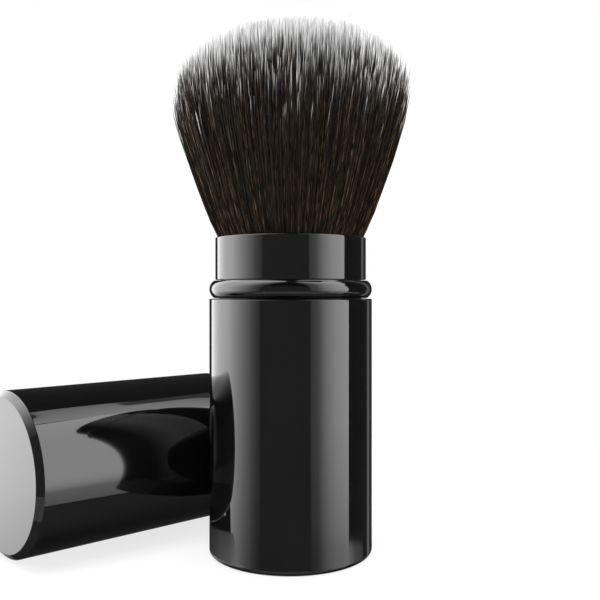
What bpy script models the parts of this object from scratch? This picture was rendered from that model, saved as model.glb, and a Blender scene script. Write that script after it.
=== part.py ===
"""Retractable makeup brush: a standing brush with its cap lying beside it.

Units are metres and +Z is up. The origin is the centre of the base's flat
bottom. The base, the post inside it and the bristle head are one rigid group.
The guide sleeve, with its collar and trim ring, slides up round the bristles.
The cap lies on its side and slides away along its own axis.
"""
import math

import bmesh
import bpy
from mathutils import Vector

MM = 0.001

# Sizes that the whole brush shares
BODY_DIAMETER = 33.0 * MM
METAL_WALL = 0.45 * MM
GLUE_GAP = 0.12 * MM
SEAT_GAP = 0.3 * MM
OVERRUN = 1.0 * MM

# Base shell
BASE_HEIGHT = 51.1 * MM
BASE_EDGE_ROUND = 0.9 * MM

# Base liner, its boss and the pocket for the screw's head
LINER_WALL = 0.75 * MM
LINER_FLOOR = 1.0 * MM
BOSS_RADIUS = 6.0 * MM
BOSS_HEIGHT = 2.6 * MM
SCREW_SEAT_THICKNESS = 1.2 * MM

# Mouth bush and the friction ring in its groove
BUSH_HEIGHT = 3.7 * MM
BUSH_RECESS = 0.15 * MM
BUSH_RUNNING_GAP = 0.15 * MM
BUSH_CHAMFER = 0.3 * MM
FRICTION_CORD_RADIUS = 0.4 * MM
FRICTION_RING_GAP = 0.1 * MM
FRICTION_GROOVE_GAP = 0.2 * MM

# Guide sleeve and the split stop ring that keeps it in the base
SLEEVE_SURROUND = 0.88 * MM
SLEEVE_WALL = 0.8 * MM
STOP_RING_HEIGHT = 1.2 * MM
STOP_RING_RUNNING_GAP = 0.12 * MM
STOP_RING_SPLIT = 3.0 * MM
STOP_GROOVE_DEPTH = 0.3 * MM
STOP_GROOVE_GAP = 0.2 * MM
SLEEVE_FOOT = 0.5 * MM

# Trim ring and collar, glued on the sleeve
RING_LIFT = 0.2 * MM
RING_HEIGHT = 3.5 * MM
RING_FLAT = 0.3 * MM
COLLAR_GAP = 0.15 * MM
COLLAR_HEIGHT = 8.5 * MM
COLLAR_WALL = 0.88 * MM
COLLAR_SHOULDER_HEIGHT = 3.0 * MM
COLLAR_LIP_WIDTH = 0.45 * MM
COLLAR_LIP_ROUND = 0.2 * MM

# Core post and its screw
POST_CORE_RADIUS = 4.2 * MM
POST_HEAD_HEIGHT = 2.6 * MM
POST_NECK_HEIGHT = 3.0 * MM
POST_RIB_THICKNESS = 1.6 * MM
POST_RIB_MARGIN = 2.0 * MM
POST_RIB_COUNT = 4
PILOT_DEPTH = 10.0 * MM
PILOT_GAP = 0.25 * MM
SCREW_RADIUS = 1.4 * MM
SCREW_HEAD_RADIUS = 2.8 * MM
SCREW_HEAD_HEIGHT = 1.5 * MM
SCREW_TIP_HEIGHT = 1.2 * MM
SCREW_SLOT_WIDTH = 0.7 * MM
SCREW_SLOT_DEPTH = 0.8 * MM
SCREW_POCKET_GAP = 0.4 * MM

# Ferrule and the resin that holds the bristle roots
FERRULE_WALL = 0.4 * MM
FERRULE_RUNNING_GAP = 0.2 * MM
FERRULE_HEIGHT = 13.4 * MM
FERRULE_BELOW_LIP = 6.2 * MM
FERRULE_CRIMP = 0.5 * MM
ROOT_SLICE_THICKNESS = 1.5 * MM
ROOT_SLICE_BELOW_FERRULE = 1.8 * MM

# Bristle head: locks of fibre in rings about a middle one
TUFT_HEIGHT = 45.2 * MM
TUFT_SPREAD = 8.3 * MM
TUFT_WIDEST_HEIGHT = 26.6 * MM
TUFT_NECK_GAP = 0.3 * MM
TUFT_THROAT_BELOW_LIP = 2.4 * MM
TUFT_FLARE_HEIGHT = 3.6 * MM
TUFT_FLARE_SPREAD = 1.3 * MM
LOCK_TAPER_HEIGHT = 5.0 * MM
LOCK_STAGGER = 1.6 * MM
LOCK_RINGS = 10
CENTRE_RINGS = 5
LOCKS_ADDED_PER_RING = 5.5
LOCK_WIDTH_SHARE = 0.36
DOME_POWER = 2.34
LOCK_SIDES = 3

# Cap and its liner
CAP_LENGTH = 50.2 * MM
CAP_CHAMFER = 1.2 * MM
CAP_LINER_WALL = 1.1 * MM
CAP_LINER_FLOOR = 1.0 * MM
CAP_MOUTH_RECESS = 0.3 * MM
CAP_COLLAR_GAP = 0.12 * MM
CAP_GRIP_HEIGHT = 0.06 * MM
CAP_GRIP_WIDTH = 1.0 * MM

# Where the cap lies: beside the base, its axis along X, its closed end at -X
CAP_BESIDE_GAP = 0.7 * MM
CAP_END_DISTANCE = 46.0 * MM

# Facets round the turned pieces
FACETS = 36
SCREW_FACETS = 16
CORNER_STEPS = 3
BEAD_STEPS = 8
CORD_STEPS = 6
MERGE_DISTANCE = 0.01 * MM
SHARP_ANGLE = math.radians(30)
GOLDEN_SHARE = (math.sqrt(5) - 1) / 2

# Radii worked out from the sizes above
BODY_RADIUS = BODY_DIAMETER / 2
METAL_INNER_RADIUS = BODY_RADIUS - METAL_WALL
LINER_RADIUS = METAL_INNER_RADIUS - GLUE_GAP
LINER_BORE_RADIUS = LINER_RADIUS - LINER_WALL
SLEEVE_RADIUS = LINER_BORE_RADIUS - SLEEVE_SURROUND
SLEEVE_BORE_RADIUS = SLEEVE_RADIUS - SLEEVE_WALL
BUSH_BORE_RADIUS = SLEEVE_RADIUS + BUSH_RUNNING_GAP
FERRULE_RADIUS = SLEEVE_BORE_RADIUS - FERRULE_RUNNING_GAP
FERRULE_BORE_RADIUS = FERRULE_RADIUS - FERRULE_WALL
ROOT_RADIUS = FERRULE_BORE_RADIUS - SEAT_GAP
COLLAR_GLUE_RADIUS = SLEEVE_RADIUS + GLUE_GAP
COLLAR_RADIUS = COLLAR_GLUE_RADIUS + COLLAR_WALL
TUFT_THROAT_RADIUS = SLEEVE_BORE_RADIUS - TUFT_NECK_GAP
TUFT_FLARE_RADIUS = COLLAR_RADIUS + TUFT_FLARE_SPREAD
TUFT_WIDEST_RADIUS = COLLAR_RADIUS + TUFT_SPREAD
SCREW_POCKET_RADIUS = SCREW_HEAD_RADIUS + SCREW_POCKET_GAP
SCREW_HOLE_RADIUS = SCREW_RADIUS + PILOT_GAP

# Heights worked out from the sizes above
LINER_BOTTOM = METAL_WALL + GLUE_GAP
LINER_FLOOR_TOP = LINER_BOTTOM + LINER_FLOOR
BOSS_TOP = LINER_FLOOR_TOP + BOSS_HEIGHT
SCREW_SEAT = BOSS_TOP - SCREW_SEAT_THICKNESS
BUSH_TOP = BASE_HEIGHT - BUSH_RECESS
BUSH_BOTTOM = BUSH_TOP - BUSH_HEIGHT
LINER_TOP = BUSH_BOTTOM - SEAT_GAP
SLEEVE_BOTTOM = LINER_FLOOR_TOP + SEAT_GAP
STOP_RING_BOTTOM = SLEEVE_BOTTOM + SLEEVE_FOOT
RING_BOTTOM = BASE_HEIGHT + RING_LIFT
RING_TOP = RING_BOTTOM + RING_HEIGHT
COLLAR_BOTTOM = RING_TOP + COLLAR_GAP
COLLAR_TOP = COLLAR_BOTTOM + COLLAR_HEIGHT
COLLAR_SHOULDER = COLLAR_TOP - COLLAR_SHOULDER_HEIGHT
SLEEVE_TOP = COLLAR_SHOULDER - GLUE_GAP
FERRULE_TOP = COLLAR_TOP - FERRULE_BELOW_LIP
FERRULE_BOTTOM = FERRULE_TOP - FERRULE_HEIGHT
POST_HEAD_BOTTOM = FERRULE_BOTTOM + FERRULE_WALL + SEAT_GAP
POST_HEAD_TOP = POST_HEAD_BOTTOM + POST_HEAD_HEIGHT
POST_BOTTOM = BOSS_TOP + SEAT_GAP
ROOT_SLICE_TOP = FERRULE_TOP - ROOT_SLICE_BELOW_FERRULE
ROOT_SLICE_BOTTOM = ROOT_SLICE_TOP - ROOT_SLICE_THICKNESS
TUFT_THROAT = COLLAR_TOP - TUFT_THROAT_BELOW_LIP
TUFT_FLARE = COLLAR_TOP + TUFT_FLARE_HEIGHT
TUFT_WIDEST = COLLAR_TOP + TUFT_WIDEST_HEIGHT
TUFT_TOP = COLLAR_TOP + TUFT_HEIGHT

# The axis that the cap lies on
CAP_AXIS_Y = 2 * BODY_RADIUS + CAP_BESIDE_GAP


def remove_everything():
    """Start from an empty scene."""
    for leftover in list(bpy.context.scene.objects):
        bpy.data.objects.remove(leftover)


def new_collection(name):
    """A collection of its own under the scene."""
    collection = bpy.data.collections.new(name)
    bpy.context.scene.collection.children.link(collection)
    return collection


def new_material(name, colour, metallic, roughness, coat=0.0):
    """A Principled material with a plain colour."""
    material = bpy.data.materials.new(name)
    material.use_nodes = True
    shader = material.node_tree.nodes["Principled BSDF"]
    shader.inputs["Base Color"].default_value = (*colour, 1.0)
    shader.inputs["Metallic"].default_value = metallic
    shader.inputs["Roughness"].default_value = roughness
    shader.inputs["Coat Weight"].default_value = coat
    return material


def arc(centre, radius, start, end, steps):
    """Points of a round corner in the plane of radius and height."""
    points = []
    for step in range(steps + 1):
        angle = math.radians(start + (end - start) * step / steps)
        across = centre[0] + radius * math.cos(angle)
        up = centre[1] + radius * math.sin(angle)
        points.append((across, up))
    return points


def evaluated_mesh(obj):
    """The object's mesh with its modifiers or its bevel applied."""
    bpy.context.view_layer.update()
    graph = bpy.context.evaluated_depsgraph_get()
    return bpy.data.meshes.new_from_object(obj.evaluated_get(graph))


def bake(obj):
    """Turn an object's modifiers into its own mesh, and shade it smooth."""
    mesh = evaluated_mesh(obj)
    obj.modifiers.clear()
    obj.data = mesh
    mesh.shade_smooth()
    mesh.set_sharp_from_angle(angle=SHARP_ANGLE)


def turned(name, profile, material, collection, closed=True, facets=FACETS, parent=None):
    """A turned piece: its profile runs down the outer side and back up inside."""
    mesh = bpy.data.meshes.new(name)
    count = len(profile)
    edges = [(index, index + 1) for index in range(count - 1)]
    if closed:
        edges.append((count - 1, 0))
    mesh.from_pydata([(radius, 0, height) for radius, height in profile], edges, [])
    obj = bpy.data.objects.new(name, mesh)
    collection.objects.link(obj)
    obj.parent = parent
    screw = obj.modifiers.new("Turn", "SCREW")
    screw.axis = "Z"
    screw.angle = 2 * math.pi
    screw.steps = facets
    screw.render_steps = facets
    screw.use_merge_vertices = True
    screw.merge_threshold = MERGE_DISTANCE
    bake(obj)
    obj.data.materials.append(material)
    return obj


def box(name, low, high, collection):
    """A plain box between two corners."""
    mesh = bpy.data.meshes.new(name)
    form = bmesh.new()
    bmesh.ops.create_cube(form, size=1)
    size = Vector(high) - Vector(low)
    bmesh.ops.scale(form, vec=size, verts=form.verts)
    bmesh.ops.translate(form, vec=(Vector(high) + Vector(low)) / 2, verts=form.verts)
    form.to_mesh(mesh)
    form.free()
    obj = bpy.data.objects.new(name, mesh)
    collection.objects.link(obj)
    obj.hide_render = True
    obj.display_type = "WIRE"
    return obj


def combine(obj, tool, operation):
    """Cut a tool from an object, or join the two."""
    boolean = obj.modifiers.new(operation.title(), "BOOLEAN")
    boolean.operation = operation
    boolean.solver = "EXACT"
    boolean.object = tool
    bake(obj)


def base_shell(materials, parts):
    """The drawn metal cup that is held in the hand."""
    corner = (BODY_RADIUS - BASE_EDGE_ROUND, BASE_EDGE_ROUND)
    profile = [
        (0, METAL_WALL),
        (METAL_INNER_RADIUS, METAL_WALL),
        (METAL_INNER_RADIUS, BASE_HEIGHT),
        (BODY_RADIUS, BASE_HEIGHT),
        *arc(corner, BASE_EDGE_ROUND, 0, -90, CORNER_STEPS),
        (0, 0),
    ]
    turned("base_shell", profile, materials["lacquer"], parts, closed=False)


def base_liner(materials, parts):
    """The moulded cup glued in the base, with the boss that the post stands on."""
    profile = [
        (LINER_RADIUS, LINER_TOP),
        (LINER_RADIUS, LINER_BOTTOM),
        (SCREW_POCKET_RADIUS, LINER_BOTTOM),
        (SCREW_POCKET_RADIUS, SCREW_SEAT),
        (SCREW_HOLE_RADIUS, SCREW_SEAT),
        (SCREW_HOLE_RADIUS, BOSS_TOP),
        (BOSS_RADIUS, BOSS_TOP),
        (BOSS_RADIUS, LINER_FLOOR_TOP),
        (LINER_BORE_RADIUS, LINER_FLOOR_TOP),
        (LINER_BORE_RADIUS, LINER_TOP),
    ]
    turned("base_liner", profile, materials["moulding"], parts)


def friction_ring_radius():
    """The radius of the friction ring's own centre line."""
    return SLEEVE_RADIUS + FRICTION_RING_GAP + FRICTION_CORD_RADIUS


def friction_ring_height():
    """The height of the friction ring, half way up the bush."""
    return (BUSH_TOP + BUSH_BOTTOM) / 2


def mouth_bush(materials, parts):
    """The bush that closes the base's mouth and guides the sleeve."""
    groove_radius = friction_ring_radius() + FRICTION_CORD_RADIUS + FRICTION_GROOVE_GAP
    groove_half = FRICTION_CORD_RADIUS + FRICTION_GROOVE_GAP
    middle = friction_ring_height()
    profile = [
        (LINER_RADIUS, BUSH_TOP),
        (LINER_RADIUS, BUSH_BOTTOM),
        (BUSH_BORE_RADIUS, BUSH_BOTTOM),
        (BUSH_BORE_RADIUS, middle - groove_half),
        (groove_radius, middle - groove_half),
        (groove_radius, middle + groove_half),
        (BUSH_BORE_RADIUS, middle + groove_half),
        (BUSH_BORE_RADIUS, BUSH_TOP - BUSH_CHAMFER),
        (BUSH_BORE_RADIUS + BUSH_CHAMFER, BUSH_TOP),
    ]
    turned("mouth_bush", profile, materials["moulding"], parts)


def friction_ring(materials, parts):
    """The rubber cord ring that holds the sleeve wherever it is left."""
    centre = (friction_ring_radius(), friction_ring_height())
    section = arc(centre, FRICTION_CORD_RADIUS, 0, -360, CORD_STEPS)[:-1]
    turned("friction_ring", section, materials["rubber"], parts)


def core_post(materials, parts, cutters):
    """The ribbed post that carries the bristle head above the base."""
    head_radius = FERRULE_BORE_RADIUS - SEAT_GAP
    profile = [
        (0, POST_HEAD_TOP),
        (head_radius, POST_HEAD_TOP),
        (head_radius, POST_HEAD_BOTTOM),
        (head_radius - FERRULE_CRIMP - SEAT_GAP, POST_HEAD_BOTTOM),
        (POST_CORE_RADIUS, POST_HEAD_BOTTOM - POST_NECK_HEIGHT),
        (POST_CORE_RADIUS, POST_BOTTOM),
        (SCREW_HOLE_RADIUS, POST_BOTTOM),
        (SCREW_HOLE_RADIUS, POST_BOTTOM + PILOT_DEPTH),
        (0, POST_BOTTOM + PILOT_DEPTH),
    ]
    post = turned("core_post", profile, materials["moulding"], parts, closed=False)
    reach = head_radius - FERRULE_CRIMP - POST_RIB_MARGIN
    low = POST_BOTTOM + POST_RIB_MARGIN
    high = POST_HEAD_BOTTOM + POST_HEAD_HEIGHT / 2
    for index in range(POST_RIB_COUNT):
        corner = (POST_CORE_RADIUS / 2, -POST_RIB_THICKNESS / 2, low)
        rib = box("post_rib", corner, (reach, POST_RIB_THICKNESS / 2, high), cutters)
        rib.rotation_euler.z = 2 * math.pi * index / POST_RIB_COUNT
        combine(post, rib, "UNION")


def post_screw(materials, parts, cutters):
    """The screw that goes up through the boss into the post."""
    head_top = SCREW_SEAT - GLUE_GAP
    head_bottom = head_top - SCREW_HEAD_HEIGHT
    tip = POST_BOTTOM + PILOT_DEPTH - SEAT_GAP
    profile = [
        (0, tip),
        (SCREW_RADIUS, tip - SCREW_TIP_HEIGHT),
        (SCREW_RADIUS, head_top),
        (SCREW_HEAD_RADIUS, head_top),
        (SCREW_HEAD_RADIUS, head_bottom),
        (0, head_bottom),
    ]
    screw = turned("post_screw", profile, materials["steel"], parts, False, SCREW_FACETS)
    half_slot = SCREW_SLOT_WIDTH / 2
    half_length = SCREW_HEAD_RADIUS - SCREW_SLOT_WIDTH
    slot_top = head_bottom + SCREW_SLOT_DEPTH
    for half_x, half_y in ((half_length, half_slot), (half_slot, half_length)):
        low = (-half_x, -half_y, head_bottom - OVERRUN)
        slot = box("screw_slot", low, (half_x, half_y, slot_top), cutters)
        combine(screw, slot, "DIFFERENCE")


def bristle_ferrule(materials, parts):
    """The metal sleeve crimped round the post's head and the bristle roots."""
    crimp_radius = FERRULE_BORE_RADIUS - FERRULE_CRIMP
    profile = [
        (FERRULE_RADIUS, FERRULE_TOP),
        (FERRULE_RADIUS, FERRULE_BOTTOM + FERRULE_WALL),
        (FERRULE_RADIUS - FERRULE_WALL, FERRULE_BOTTOM),
        (crimp_radius, FERRULE_BOTTOM),
        (crimp_radius, FERRULE_BOTTOM + FERRULE_WALL),
        (FERRULE_BORE_RADIUS, FERRULE_BOTTOM + FERRULE_WALL),
        (FERRULE_BORE_RADIUS, FERRULE_TOP),
    ]
    turned("bristle_ferrule", profile, materials["aluminium"], parts)


def glue_plug(materials, parts):
    """The resin poured on the post's head, under the bristle roots."""
    top = ROOT_SLICE_BOTTOM - SEAT_GAP
    bottom = POST_HEAD_TOP + SEAT_GAP
    profile = [(0, top), (ROOT_RADIUS, top), (ROOT_RADIUS, bottom), (0, bottom)]
    turned("glue_plug", profile, materials["resin"], parts, closed=False)


def dome_height(radius):
    """The height of the bristle dome at a distance from the axis."""
    share = min(radius / TUFT_WIDEST_RADIUS, 1)
    rise = (1 - share ** DOME_POWER) ** (1 / DOME_POWER)
    return TUFT_WIDEST + (TUFT_TOP - TUFT_WIDEST) * rise


def tuft_radius(height):
    """The outside radius of the bristle head, before the dome cuts it."""
    levels = (
        (ROOT_SLICE_BOTTOM, ROOT_RADIUS),
        (TUFT_THROAT, TUFT_THROAT_RADIUS),
        (TUFT_FLARE, TUFT_FLARE_RADIUS),
        (TUFT_WIDEST, TUFT_WIDEST_RADIUS),
    )
    for (low, low_radius), (high, high_radius) in zip(levels, levels[1:]):
        if height <= high:
            return low_radius + (high_radius - low_radius) * (height - low) / (high - low)
    return TUFT_WIDEST_RADIUS


def lock_points(share, direction, stagger, bends):
    """One lock's centre line, and how wide the lock is at each point."""
    tip = dome_height(share * TUFT_WIDEST_RADIUS) - stagger
    root = ROOT_SLICE_TOP - ROOT_SLICE_THICKNESS / 2
    heights = [root, *bends, tip - LOCK_TAPER_HEIGHT, tip]
    points = []
    for height in heights:
        spread = tuft_radius(height)
        width = 0 if height == tip else spread * LOCK_WIDTH_SHARE / LOCK_RINGS
        across = share * spread
        points.append((across * direction[0], across * direction[1], height, width))
    return points


def lock_section(cutters):
    """The outline that every lock is drawn out from, one unit from its centre."""
    curve = bpy.data.curves.new("lock_section", "CURVE")
    curve.dimensions = "2D"
    spline = curve.splines.new("POLY")
    spline.points.add(LOCK_SIDES - 1)
    spline.use_cyclic_u = True
    for side, point in enumerate(spline.points):
        angle = 2 * math.pi * side / LOCK_SIDES
        point.co = (math.cos(angle), math.sin(angle), 0, 1)
    section = bpy.data.objects.new("lock_section", curve)
    cutters.objects.link(section)
    section.hide_render = True
    section.display_type = "WIRE"
    return section


def bristle_locks(name, first_ring, last_ring, bends, section, cutters):
    """The locks of some rings, as one mesh of separate closed bodies.

    Every lock runs straight between the heights where its ring bends, and a
    lock's distance from the axis is always the same share of the head's
    radius there, so no lock crosses another.
    """
    curve = bpy.data.curves.new(name, "CURVE")
    curve.dimensions = "3D"
    curve.bevel_mode = "OBJECT"
    curve.bevel_object = section
    curve.use_fill_caps = True
    outermost = LOCK_RINGS + LOCK_WIDTH_SHARE
    for ring in range(first_ring, last_ring + 1):
        count = max(1, math.ceil(LOCKS_ADDED_PER_RING * ring))
        for index in range(count):
            angle = 2 * math.pi * (index / count + ring * GOLDEN_SHARE)
            direction = (math.cos(angle), math.sin(angle))
            stagger = LOCK_STAGGER * (index * GOLDEN_SHARE % 1)
            points = lock_points(ring / outermost, direction, stagger, bends)
            spline = curve.splines.new("POLY")
            spline.points.add(len(points) - 1)
            for point, (across, along, up, width) in zip(spline.points, points):
                point.co = (across, along, up, 1)
                point.radius = width
    drawn = bpy.data.objects.new(name, curve)
    cutters.objects.link(drawn)
    mesh = evaluated_mesh(drawn)
    form = bmesh.new()
    form.from_mesh(mesh)
    bmesh.ops.remove_doubles(form, verts=form.verts, dist=MERGE_DISTANCE)
    bmesh.ops.recalc_face_normals(form, faces=form.faces)
    form.to_mesh(mesh)
    form.free()
    locks = bpy.data.objects.new(name, mesh)
    locks.matrix_world = drawn.matrix_world
    cutters.objects.link(locks)
    locks.hide_render = True
    locks.display_type = "WIRE"
    bpy.data.objects.remove(drawn)
    return locks


def bristles(materials, parts, cutters):
    """The bristle head: a middle bundle that stays straight and the flared rings."""
    section = lock_section(cutters)
    ring_width = ROOT_RADIUS / (LOCK_RINGS + LOCK_WIDTH_SHARE)
    border = ring_width * (CENTRE_RINGS + 0.5)
    inner = border - SEAT_GAP / 2
    outer = border + SEAT_GAP / 2
    top = ROOT_SLICE_TOP
    bottom = ROOT_SLICE_BOTTOM
    disc = [(0, top), (inner, top), (inner, bottom), (0, bottom)]
    centre = turned("bristle_centre", disc, materials["fibre"], parts, closed=False)
    bends = [TUFT_THROAT]
    locks = bristle_locks("centre_locks", 0, CENTRE_RINGS, bends, section, cutters)
    combine(centre, locks, "UNION")
    band = [(ROOT_RADIUS, top), (ROOT_RADIUS, bottom), (outer, bottom), (outer, top)]
    flared = turned("bristle_flare", band, materials["fibre"], parts)
    bends = [TUFT_THROAT, TUFT_FLARE]
    locks = bristle_locks("flare_locks", CENTRE_RINGS + 1, LOCK_RINGS, bends, section, cutters)
    combine(flared, locks, "UNION")


def guide_sleeve(materials, parts, slide):
    """The tube that slides in the base and gathers the bristles."""
    groove_radius = SLEEVE_RADIUS - STOP_GROOVE_DEPTH
    groove_top = STOP_RING_BOTTOM + STOP_RING_HEIGHT + STOP_GROOVE_GAP
    groove_bottom = STOP_RING_BOTTOM - STOP_GROOVE_GAP
    profile = [
        (SLEEVE_RADIUS, SLEEVE_TOP),
        (SLEEVE_RADIUS, groove_top),
        (groove_radius, groove_top),
        (groove_radius, groove_bottom),
        (SLEEVE_RADIUS, groove_bottom),
        (SLEEVE_RADIUS, SLEEVE_BOTTOM),
        (SLEEVE_BORE_RADIUS, SLEEVE_BOTTOM),
        (SLEEVE_BORE_RADIUS, SLEEVE_TOP),
    ]
    turned("guide_sleeve", profile, materials["moulding"], parts, parent=slide)


def stop_ring(materials, parts, cutters, slide):
    """The split ring in the sleeve's groove, which meets the bush at full travel."""
    inner = SLEEVE_RADIUS - STOP_GROOVE_DEPTH + GLUE_GAP
    outer = LINER_BORE_RADIUS - STOP_RING_RUNNING_GAP
    top = STOP_RING_BOTTOM + STOP_RING_HEIGHT
    profile = [(outer, top), (outer, STOP_RING_BOTTOM), (inner, STOP_RING_BOTTOM), (inner, top)]
    ring = turned("stop_ring", profile, materials["steel"], parts, parent=slide)
    low = (inner - OVERRUN, -STOP_RING_SPLIT / 2, STOP_RING_BOTTOM - OVERRUN)
    high = (outer + OVERRUN, STOP_RING_SPLIT / 2, top + OVERRUN)
    combine(ring, box("stop_ring_split", low, high, cutters), "DIFFERENCE")


def trim_ring(materials, parts, slide):
    """The half-round ring that the cap's mouth and the base's rim meet."""
    middle = RING_BOTTOM + RING_HEIGHT / 2
    half = (RING_HEIGHT - RING_FLAT) / 2
    centre_radius = BODY_RADIUS - half
    profile = [
        (COLLAR_GLUE_RADIUS, RING_TOP),
        *arc((centre_radius, middle + RING_FLAT / 2), half, 90, 0, BEAD_STEPS // 2),
        *arc((centre_radius, middle - RING_FLAT / 2), half, 0, -90, BEAD_STEPS // 2),
        (COLLAR_GLUE_RADIUS, RING_BOTTOM),
    ]
    turned("trim_ring", profile, materials["lacquer"], parts, parent=slide)


def collar(materials, parts, slide):
    """The metal collar over the sleeve's end, with a mouth that flares inside."""
    mouth_radius = COLLAR_RADIUS - COLLAR_LIP_WIDTH
    lip_centre = (COLLAR_RADIUS - COLLAR_LIP_ROUND, COLLAR_TOP - COLLAR_LIP_ROUND)
    profile = [
        *arc(lip_centre, COLLAR_LIP_ROUND, 90, 0, CORNER_STEPS - 1),
        (COLLAR_RADIUS, COLLAR_BOTTOM),
        (COLLAR_GLUE_RADIUS, COLLAR_BOTTOM),
        (COLLAR_GLUE_RADIUS, COLLAR_SHOULDER),
        (SLEEVE_BORE_RADIUS, COLLAR_SHOULDER),
        (mouth_radius, COLLAR_TOP),
    ]
    turned("collar", profile, materials["lacquer"], parts, parent=slide)


def cap_shell(materials, parts, lying):
    """The drawn metal cup of the cap, its closed end at its own origin."""
    profile = [
        (0, METAL_WALL),
        (METAL_INNER_RADIUS - CAP_CHAMFER, METAL_WALL),
        (METAL_INNER_RADIUS, METAL_WALL + CAP_CHAMFER),
        (METAL_INNER_RADIUS, CAP_LENGTH),
        (BODY_RADIUS, CAP_LENGTH),
        (BODY_RADIUS, CAP_CHAMFER),
        (BODY_RADIUS - CAP_CHAMFER, 0),
        (0, 0),
    ]
    turned("cap_shell", profile, materials["lacquer"], parts, closed=False, parent=lying)


def cap_liner(materials, parts, lying):
    """The moulded cup glued in the cap, which grips the collar."""
    bottom = METAL_WALL + GLUE_GAP
    floor = bottom + CAP_LINER_FLOOR
    top = CAP_LENGTH - CAP_MOUTH_RECESS
    step = CAP_LENGTH - COLLAR_HEIGHT - COLLAR_GAP - SEAT_GAP
    grip = (step + top) / 2
    bore = LINER_RADIUS - CAP_LINER_WALL
    mouth = COLLAR_RADIUS + CAP_COLLAR_GAP
    corner = CAP_CHAMFER
    profile = [
        (0, floor),
        (bore - CAP_LINER_FLOOR, floor),
        (bore, floor + CAP_LINER_FLOOR),
        (bore, step - (mouth - bore)),
        (mouth, step),
        (mouth, grip - CAP_GRIP_WIDTH),
        (mouth - CAP_GRIP_HEIGHT, grip),
        (mouth, grip + CAP_GRIP_WIDTH),
        (mouth, top),
        (LINER_RADIUS, top),
        (LINER_RADIUS, bottom + corner),
        (LINER_RADIUS - corner, bottom),
        (0, bottom),
    ]
    turned("cap_liner", profile, materials["moulding"], parts, closed=False, parent=lying)


def main():
    """Build the brush and its cap."""
    remove_everything()
    parts = new_collection("retractable_makeup_brush")
    cutters = new_collection("cutters")
    materials = {
        "lacquer": new_material("black_lacquer", (0.010, 0.010, 0.011), 0.0, 0.08, 1.0),
        "moulding": new_material("black_moulding", (0.020, 0.020, 0.021), 0.0, 0.40),
        "aluminium": new_material("aluminium", (0.80, 0.80, 0.81), 1.0, 0.30),
        "steel": new_material("zinc_plated_steel", (0.62, 0.62, 0.63), 1.0, 0.28),
        "rubber": new_material("black_rubber", (0.015, 0.015, 0.015), 0.0, 0.70),
        "resin": new_material("amber_resin", (0.45, 0.33, 0.16), 0.0, 0.25),
        "fibre": new_material("bristle_fibre", (0.045, 0.030, 0.022), 0.0, 0.55),
    }

    slide = bpy.data.objects.new("sleeve_slide", None)
    parts.objects.link(slide)
    lying = bpy.data.objects.new("cap_lying", None)
    lying.location = (-CAP_END_DISTANCE, CAP_AXIS_Y, BODY_RADIUS)
    lying.rotation_euler.y = math.pi / 2
    parts.objects.link(lying)

    base_shell(materials, parts)
    base_liner(materials, parts)
    mouth_bush(materials, parts)
    friction_ring(materials, parts)
    core_post(materials, parts, cutters)
    post_screw(materials, parts, cutters)
    bristle_ferrule(materials, parts)
    glue_plug(materials, parts)
    bristles(materials, parts, cutters)
    guide_sleeve(materials, parts, slide)
    stop_ring(materials, parts, cutters, slide)
    trim_ring(materials, parts, slide)
    collar(materials, parts, slide)
    cap_shell(materials, parts, lying)
    cap_liner(materials, parts, lying)


main()
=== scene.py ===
import math
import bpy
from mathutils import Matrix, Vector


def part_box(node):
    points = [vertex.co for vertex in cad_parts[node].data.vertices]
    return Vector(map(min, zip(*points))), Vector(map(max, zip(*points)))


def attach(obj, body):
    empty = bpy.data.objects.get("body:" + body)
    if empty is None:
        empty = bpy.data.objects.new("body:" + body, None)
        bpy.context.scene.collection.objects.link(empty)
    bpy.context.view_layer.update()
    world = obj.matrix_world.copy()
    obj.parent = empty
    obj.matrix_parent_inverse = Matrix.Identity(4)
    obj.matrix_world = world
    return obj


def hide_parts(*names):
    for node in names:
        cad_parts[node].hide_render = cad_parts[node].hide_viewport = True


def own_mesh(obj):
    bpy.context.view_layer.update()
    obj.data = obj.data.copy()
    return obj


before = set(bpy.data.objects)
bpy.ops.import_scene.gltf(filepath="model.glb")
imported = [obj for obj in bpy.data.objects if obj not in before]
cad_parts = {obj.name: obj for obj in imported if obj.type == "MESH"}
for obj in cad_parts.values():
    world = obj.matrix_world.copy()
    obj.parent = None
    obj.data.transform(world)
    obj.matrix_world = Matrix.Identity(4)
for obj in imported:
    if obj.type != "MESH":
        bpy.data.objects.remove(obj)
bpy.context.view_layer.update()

from types import SimpleNamespace

import bmesh
import bpy
import numpy as np
from mathutils import Matrix, Vector
from mathutils.kdtree import KDTree

MM = 0.001
FULL_TURN = 2 * math.pi

# The camera: level, at the open brush's middle height
EYE_HEIGHT = 53.3 * MM
EYE_DISTANCE = 166.0 * MM
EYE_TO_RIGHT = 1.9 * MM
HEADING = math.radians(47.5)
LENS = 48.78
SENSOR = 36.0
HORIZON_SHIFT = -0.02

VIEW = Vector((math.cos(HEADING), math.sin(HEADING), 0))
RIGHT = Vector((math.sin(HEADING), -math.cos(HEADING), 0))

# How turned pieces are meshed: holding rings beside each round keep the flats flat
TURN_STEPS = 256
ROUND_STEPS = 7
HOLDING_GAP = 0.12
SHORTEST_HELD = 4 * HOLDING_GAP
ON_AXIS = 0.01
SHARP_ANGLE = math.radians(32)

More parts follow.
